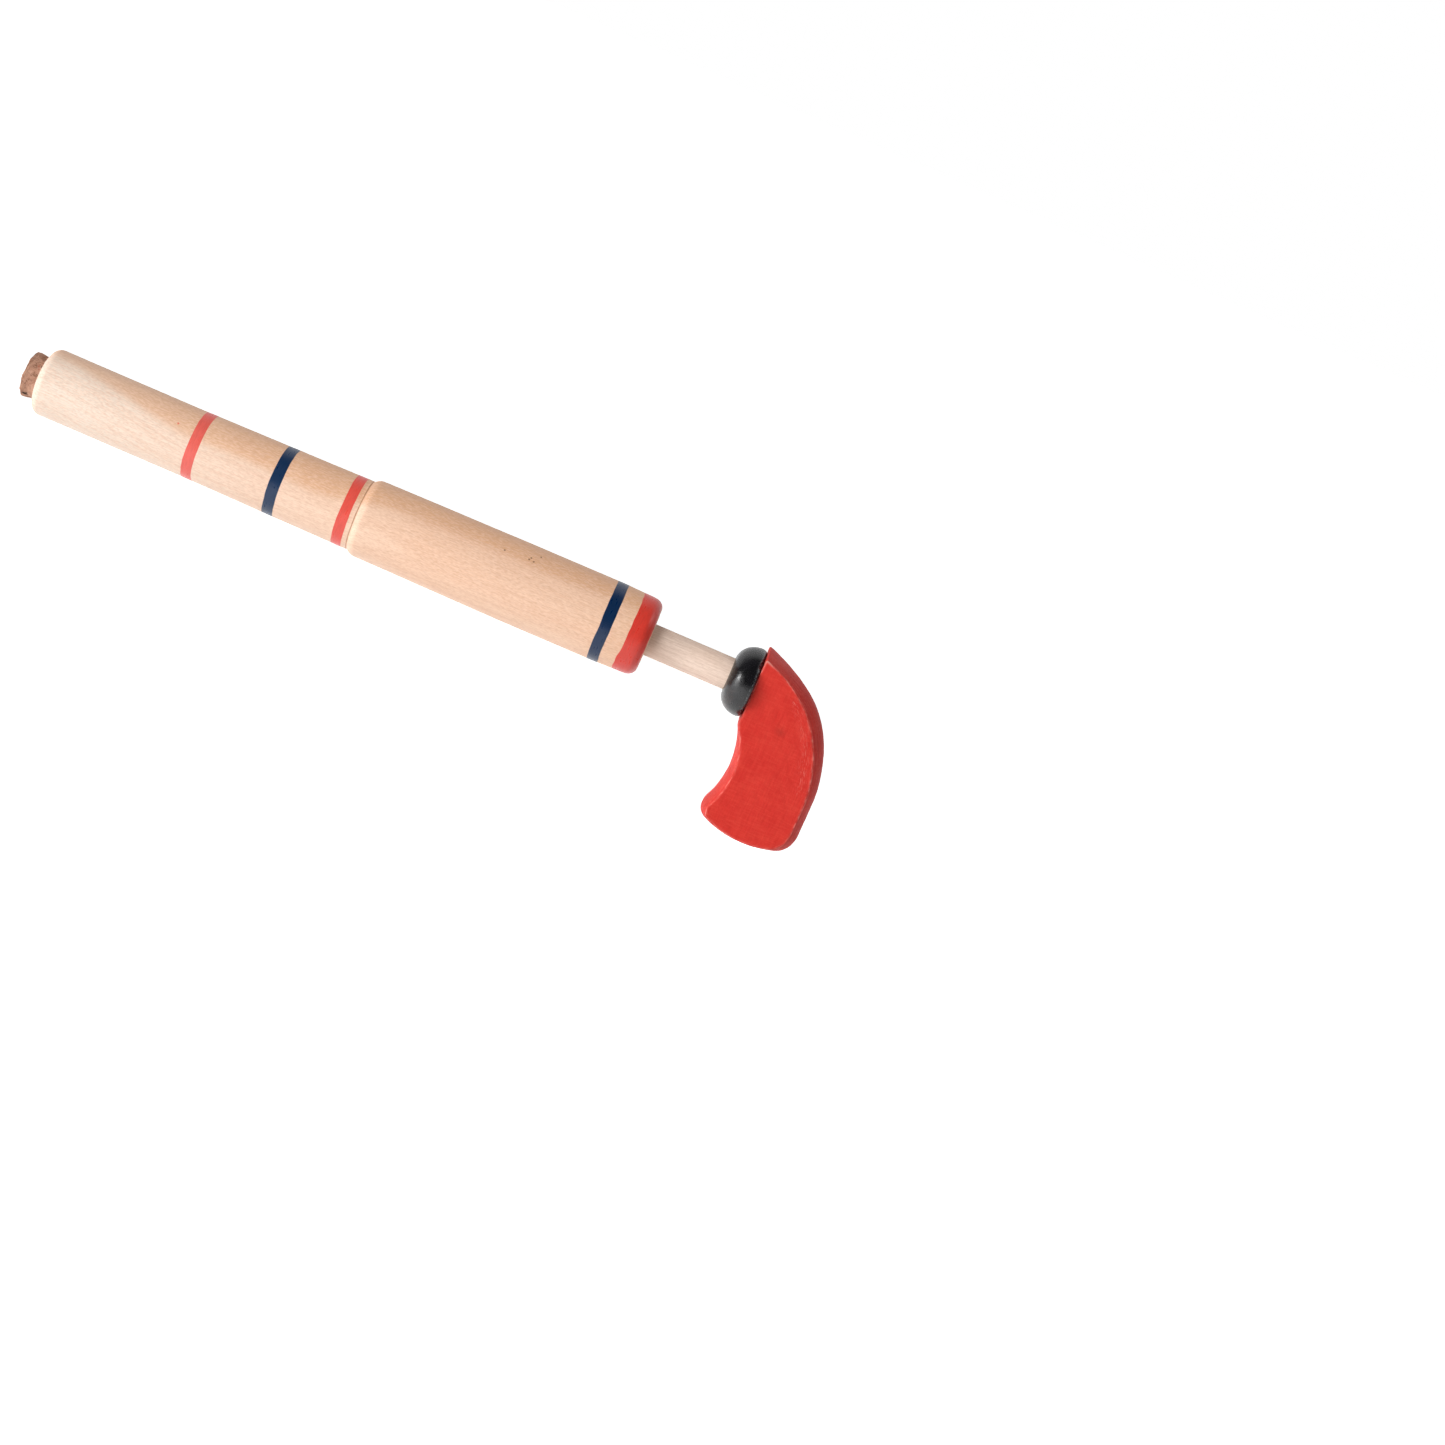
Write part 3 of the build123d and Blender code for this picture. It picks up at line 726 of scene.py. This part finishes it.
def outline(crowning):
    """The handle's side outline as one closed row of (x, z) points for each value of crowning, the
    amount by which the narrow faces draw in. Five curves go round it: the straight front, the back's
    cubic from the peak, the straight belly, the arc of the base and the arc of the finger scoop.
    Where two meet at a corner, a conic takes over at the fillet's tangent length from it."""
    c = np.asarray(crowning, float)[:, None]
    ones = np.ones_like(c)

    def spot(x, z):
        return np.concatenate([FRONT + x * ones, z * ones], axis=1)[:, None, :]

    # Where the curves meet or pass: each place without crowning, and how it draws in with it
    peak = spot(0, TOP - 0.15 * c)
    lip = spot(0, -12.6 + 0.7 * c)
    toe = spot(-1.0 + 0.6 * c, -DROP + 4.8 + 0.45 * c)
    spine = spot(18.7 - 0.6 * c, 2.2 - 0.6 * c)
    belly = spot(DEPTH - c, -29.0)
    heel = spot(DEPTH - c, -DROP + 3.3 + 0.6 * c)
    base = spot(DEPTH / 2, -DROP + 0.7 * c)
    scoop = spot(3.0 + 0.6 * c, (lip[:, 0, 1:] + toe[:, 0, 1:]) / 2)

    def line(p, q):
        return lambda u: p * (1 - u[..., None]) + q * u[..., None]

    def arc(p, q, r):
        """The circle through three points, as a function of the share of its sweep from p to r."""
        px, pz, qx, qz, rx, rz = (v[..., k] for v in (p, q, r) for k in (0, 1))
        twice = 2 * (px * (qz - rz) + qx * (rz - pz) + rx * (pz - qz))
        squares = [x * x + z * z for x, z in ((px, pz), (qx, qz), (rx, rz))]
        cx = (squares[0] * (qz - rz) + squares[1] * (rz - pz) + squares[2] * (pz - qz)) / twice
        cz = (squares[0] * (rx - qx) + squares[1] * (px - rx) + squares[2] * (qx - px)) / twice
        radius = np.hypot(px - cx, pz - cz)
        start, stop = np.arctan2(pz - cz, px - cx), np.arctan2(rz - cz, rx - cx)
        sweep = (stop - start + np.pi) % (2 * np.pi) - np.pi

        def at(u):
            a = start + sweep * u
            return np.stack([cx + radius * np.cos(a), cz + radius * np.sin(a)], axis=-1)

        return at

    def back(u):
        """Clamped cubic through peak, spine and belly, its parameter the length of the chords."""
        h0 = np.linalg.norm(spine - peak, axis=-1, keepdims=True)
        h1 = np.linalg.norm(belly - spine, axis=-1, keepdims=True)
        slope = np.radians(17)
        m0 = np.array([np.cos(slope), -np.sin(slope)])
        m2 = np.array([0.0, -1.0])
        pull = 3 * ((spine - peak) / h0**2 + (belly - spine) / h1**2)
        m1 = (pull - m0 / h0 - m2 / h1) / (2 / h0 + 2 / h1)
        t = u[..., None] * (h0 + h1)
        first = t < h0
        s = np.where(first, t / h0, (t - h0) / h1)
        h = np.where(first, h0, h1)
        p, q = np.where(first, peak, spine), np.where(first, spine, belly)
        mp, mq = np.where(first, m0, m1), np.where(first, m1, m2)
        return (
            (2 * s**3 - 3 * s**2 + 1) * p + (s**3 - 2 * s**2 + s) * h * mp
            + (3 * s**2 - 2 * s**3) * q + (s**3 - s**2) * h * mq
        )

    # The curves in turn, how many points each has, and the radius of the corner after it, where it has one
    curves = [line(lip, peak), back, line(belly, heel), arc(heel, base, toe), arc(toe, scoop, lip)]
    counts = [44, 120, 40, 80, 80]
    fillets = [0.5, None, 7.0, 3.2, 3.0]
    fine = np.linspace(0, 1, 200)[None].repeat(len(c), axis=0)
    chords = [np.linalg.norm(np.diff(f(fine), axis=1), axis=-1) for f in curves]
    lengths = [chord.sum(axis=1, keepdims=True) for chord in chords]

    def heading(f, u):
        step_on = f(np.minimum(u + 1e-3, 1)) - f(np.maximum(u - 1e-3, 0))
        return step_on / np.linalg.norm(step_on, axis=-1, keepdims=True)

    trims = [[np.zeros_like(c), ones.copy()] for _ in curves]
    blends = []
    for k, radius in enumerate(fillets):
        after = (k + 1) % len(curves)
        if radius is None:
            blends.append(None)
            continue
        reach = np.full_like(c, radius)
        for _ in range(30):
            a = heading(curves[k], 1 - reach / lengths[k])
            b = heading(curves[after], reach / lengths[after])
            turn = np.arccos(np.clip((a * b).sum(axis=-1), -1, 1))
            reach = 0.5 * reach + 0.5 * radius * np.tan(turn / 2)
        trims[k][1] = 1 - reach / lengths[k]
        trims[after][0] = reach / lengths[after]
        start, end = curves[k](trims[k][1]), curves[after](trims[after][0])
        cross = a[..., 0] * b[..., 1] - a[..., 1] * b[..., 0]
        gap = end - start
        ahead = (gap[..., 0] * b[..., 1] - gap[..., 1] * b[..., 0]) / cross
        corner = start + a * ahead[..., None]
        t = np.linspace(0, 1, 10 + int(3 * radius))[None, 1:-1, None]
        weight = np.cos(turn / 2)[..., None]
        share = [(1 - t) ** 2, 2 * weight * t * (1 - t), t**2]
        blends.append((share[0] * start + share[1] * corner + share[2] * end) / sum(share))
    rows = []
    for f, (begin, stop), count, blend in zip(curves, trims, counts, blends):
        u = begin + (stop - begin) * np.linspace(0, 1, count)[None]
        rows.append(f(u) if blend is not None else f(u)[:, :-1])
        if blend is not None:
            rows.append(blend)
    return np.concatenate(rows, axis=1)


# Across the thickness: a parabola on the narrow faces, a rounded arris, then flat sides that close
# towards a middle point. Depth beyond the crown is an inset along the flat side.
ARRIS_DROP, ARRIS_RISE, ARRIS_RUN = 0.149, 0.213, 0.26
half_y = np.linspace(0, HALF - ARRIS_RISE, 30)
arris_start = (CROWN - ARRIS_DROP, HALF - ARRIS_RISE)
arris_blend = rounding(arris_start, (CROWN, HALF), (CROWN + ARRIS_RUN, HALF), 9)[1:]
depth_y = np.vstack([np.stack([CROWN * (half_y / HALF) ** 2, half_y], axis=-1), arris_blend])
depth_y = np.vstack([depth_y[:0:-1] * (1, -1), depth_y])
rim_rows = outline(np.minimum(depth_y[:, 0], CROWN))
ahead = np.roll(rim_rows, -1, axis=1) - np.roll(rim_rows, 1, axis=1)
inward = np.stack([ahead[..., 1], -ahead[..., 0]], axis=-1)
inward /= np.linalg.norm(inward, axis=-1, keepdims=True)
rim_rows = rim_rows + inward * np.maximum(depth_y[:, 0] - CROWN, 0)[:, None, None]
y_rows = np.broadcast_to(depth_y[:, 1][:, None], rim_rows.shape[:2])

MIDDLE = np.array([FRONT + 15.0, -20.0])
closing = np.concatenate([[0.012, 0.03], np.linspace(0.06, 0.985, 26)])[:, None, None]
side = rim_rows[-1] * (1 - closing) + MIDDLE * closing
side_far = rim_rows[0] * (1 - closing) + MIDDLE * closing
flat = np.concatenate([side_far[::-1], rim_rows, side])
flat_y = np.concatenate([np.full(side_far.shape[:2], -HALF), y_rows, np.full(side.shape[:2], HALF)])
flat_x, flat_z = flat[..., 0], flat[..., 1]
handle_grid = np.stack([flat_x, flat_y, flat_z], axis=-1)
handle_normal = outward(handle_grid)

# Marks for the paint: closeness to an arris, whose middle is the sixth row from either side, and the
# narrow faces between the two arrises.
from_arris = np.inf
for row, arris_y in ((-6, HALF), (5, -HALF)):
    along_arris = np.insert(rim_rows[row], 1, arris_y, axis=-1)
    from_arris = np.minimum(from_arris, np.linalg.norm(handle_grid - along_arris, axis=-1))
arris = np.exp(-((from_arris / 0.42) ** 2))
edge_face = 1 / (1 + np.exp((np.abs(flat_y) - HALF + 0.15) / 0.05))

# At the peak, where the arrises stand out behind the stop ring, they are painted paler still: partly paint
# rubbed bare, partly painted highlight on the lit top.
from_peak = np.hypot(flat_x - FRONT, flat_z - TOP)
bared = arris * np.exp(-((from_peak / 2.4) ** 2))

# Scratches lie in a strip inside the back edge of the sides, and a smudge in the middle of the near one.
side_face = 1 - edge_face
back_gap = np.linalg.norm(flat - rim_rows[:1], axis=-1)
scuffed = side_face * np.exp(-(((back_gap - 2.5) / 1.6) ** 2)) * (flat_x > FRONT + 12) * (flat_z > -24)
from_smudge = ((flat_x - FRONT - 12.6) / 1.9) ** 2 + ((flat_z + 8.0) / 1.1) ** 2
smudge = side_face * (flat_y < 0) * np.exp(-from_smudge)

hand_sanded = 0.05 * waves(handle_grid, 12, 81) + 0.02 * waves(handle_grid, 3.5, 82) - 0.05
eased = 0.06 * arris * (1 + waves(handle_grid, 6, 83))
handle_grid = handle_grid + handle_normal * (hand_sanded - eased)[..., None]

# The paint's chart: millimetres round the outline, and across it from one side's middle to the other's.
columns = handle_grid.shape[1]
crown_row = rim_rows[len(rim_rows) // 2]
round_step = np.linalg.norm(np.roll(crown_row, -1, axis=0) - crown_row, axis=-1)
round_u = np.concatenate([[0], np.cumsum(round_step)])
row_step = np.linalg.norm(np.diff(handle_grid, axis=0), axis=-1)
across_v = np.concatenate([np.zeros((1, columns)), np.cumsum(row_step, axis=0)])
across_v = across_v - across_v[len(across_v) // 2]
across_v = np.concatenate([across_v, across_v[:, :1]], axis=1)
chart = np.stack([np.broadcast_to(round_u, across_v.shape), across_v], axis=-1) * MM

# The middle points of both sides lie as deep as the sanding takes the paint on average
SANDED = 0.05
handle_ends = np.array([[MIDDLE[0], y, MIDDLE[1]] for y in (-HALF + SANDED, HALF - SANDED)])
skin(
    "popgun_handle", handle_grid, "plunger", "handle", "red_paint", enamel, ends=handle_ends, chart=chart,
    arris=arris, edge_face=edge_face, scuffed=scuffed, smudge=smudge, bared=bared,
)

# ---------------------------------------------------------------- pieces kept from the CAD model

for name, material in (
    ("piston_head", piston_birch),
    ("piston_seal", rubber),
    ("piston_washer", zinc),
    ("piston_screw", zinc),
):
    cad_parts[name].material_slots[0].material = material

# ---------------------------------------------------------------- stage, lamps and camera

FLOOR_DROP, FLOOR_HALF = 0.25, 6
scene = bpy.context.scene
scene.view_settings.view_transform = "Standard"

# A matt white paper floor that keeps the object's shadow. It glows a little for all rays, which lights
# the object from below. For camera, glossy and transmitted rays it glows more, and more still away from
# the object, where it meets the backdrop.
floor_mesh = bpy.data.meshes.new("studio_floor")
sides = ((-1, -1), (1, -1), (1, 1), (-1, 1))
corners = [(x * FLOOR_HALF, y * FLOOR_HALF, -FLOOR_DROP) for x, y in sides]
floor_mesh.from_pydata(corners, [], [(0, 1, 2, 3)])
floor = bpy.data.objects.new("studio_floor", floor_mesh)
scene.collection.objects.link(floor)
paper = bpy.data.materials.new("white_paper_sweep")
paper.use_nodes = True
tree = paper.node_tree
tree.nodes.clear()
ray = node(tree, "LightPath").outputs
through = node(tree, "Math", {0: ray["Is Glossy Ray"], 1: ray["Is Transmission Ray"]}, operation="MAXIMUM")
seen = node(tree, "Math", {0: ray["Is Camera Ray"], 1: through}, operation="MAXIMUM")
away = node(tree, "VectorMath", {0: node(tree, "TexCoord").outputs["Object"]}, operation="LENGTH")
rising = {0: away, 1: 0.5, 2: 1.6, 3: 0.5, 4: 0.67}
lift = node(tree, "MapRange", rising, interpolation_type="SMOOTHSTEP")
strength = node(tree, "Math", {0: seen, 1: lift, 2: 0.33}, operation="MULTIPLY_ADD")
matt = node(tree, "BsdfDiffuse", {"Color": "f2f2f2"})
glow = node(tree, "Emission", {"Strength": strength})
node(tree, "OutputMaterial", {"Surface": node(tree, "AddShader", {0: matt, 1: glow})})
floor_mesh.materials.append(paper)

# The studio: a dim room, and a white backdrop across its far side that the camera sees everywhere and
# that glossy and transmitted rays find where it stands.
world = bpy.data.worlds.new("studio")
scene.world = world
world.use_nodes = True
tree = world.node_tree
tree.nodes.clear()
ray = node(tree, "LightPath").outputs
forward = node(tree, "SeparateXYZ", {0: node(tree, "TexCoord").outputs["Generated"]}).outputs[1]
stands = node(tree, "MapRange", {0: forward, 1: 0.05, 2: 0.45}, interpolation_type="SMOOTHSTEP")
through = node(tree, "Math", {0: ray["Is Glossy Ray"], 1: ray["Is Transmission Ray"]}, operation="MAXIMUM")
found = node(tree, "Math", {0: through, 1: stands}, operation="MULTIPLY")
seen = node(tree, "Math", {0: ray["Is Camera Ray"], 1: found}, operation="MAXIMUM")
level = node(tree, "Math", {0: seen, 1: 0.06}, operation="MAXIMUM")
node(tree, "OutputWorld", {"Surface": node(tree, "Background", {"Color": "ffffff", "Strength": level})})

# Lamps: azimuth from the object's front towards the handle's end and elevation, both in degrees, then
# distance and sides in metres and power in watts. Three of them leave no highlight of their own.
UNREFLECTED = ("front_fill", "upper_softbox", "back_fill")
target = Vector((-0.04, 0.0, -0.01))
for name, azimuth, elevation, distance, size, power in (
    ("key_softbox", -60, 7, 1.60, (0.70, 0.62), 6.8),
    ("key_centre", -60, 7, 1.55, (0.26, 0.26), 6.0),
    ("front_fill", -26, 2, 1.60, (0.70, 0.50), 4.1),
    ("upper_softbox", -48, 44, 1.60, (0.80, 0.80), 13.8),
    ("right_fill", 90, 45, 1.00, (0.50, 0.50), 2.1),
    ("back_fill", 180, -17, 0.60, (0.50, 0.20), 0.55),
    ("left_card", -58, -33, 0.36, (0.30, 0.24), 0.060),
    ("front_card", -10, -45, 0.29, (0.35, 0.25), 0.050),
):
    lamp = bpy.data.lights.new(name, "AREA")
    lamp.shape = "RECTANGLE"
    lamp.size, lamp.size_y = size
    lamp.energy = power
    holder = bpy.data.objects.new(name, lamp)
    turn, rise = math.radians(azimuth), math.radians(elevation)
    direction = Vector((math.sin(turn) * math.cos(rise), -math.cos(turn) * math.cos(rise), math.sin(rise)))
    holder.location = target + direction * distance
    holder.rotation_euler = direction.to_track_quat("Z", "Y").to_euler()
    holder.visible_camera = False
    holder.visible_glossy = name not in UNREFLECTED
    scene.collection.objects.link(holder)

# The camera stands in front and looks down at the object, turned from straight back, tipped down and
# rolled by these degrees.
CAMERA_PLACE = (0.02549, -0.67800, 0.20305)
CAMERA_TURN, CAMERA_TIP, CAMERA_ROLL = (math.radians(v) for v in (2.731, 17.797, 24.041))
camera_data = bpy.data.cameras.new("camera")
camera_data.sensor_width = 36.0
camera_data.lens = 59.19
camera_data.clip_start, camera_data.clip_end = 0.01, 50
camera = bpy.data.objects.new("camera", camera_data)
turning = Matrix.Rotation(-CAMERA_TURN, 4, "Z")
tipping = Matrix.Rotation(math.pi / 2 - CAMERA_TIP, 4, "X")
rolling = Matrix.Rotation(CAMERA_ROLL, 4, "Z")
camera.matrix_world = Matrix.Translation(CAMERA_PLACE) @ turning @ tipping @ rolling
scene.collection.objects.link(camera)
scene.camera = camera
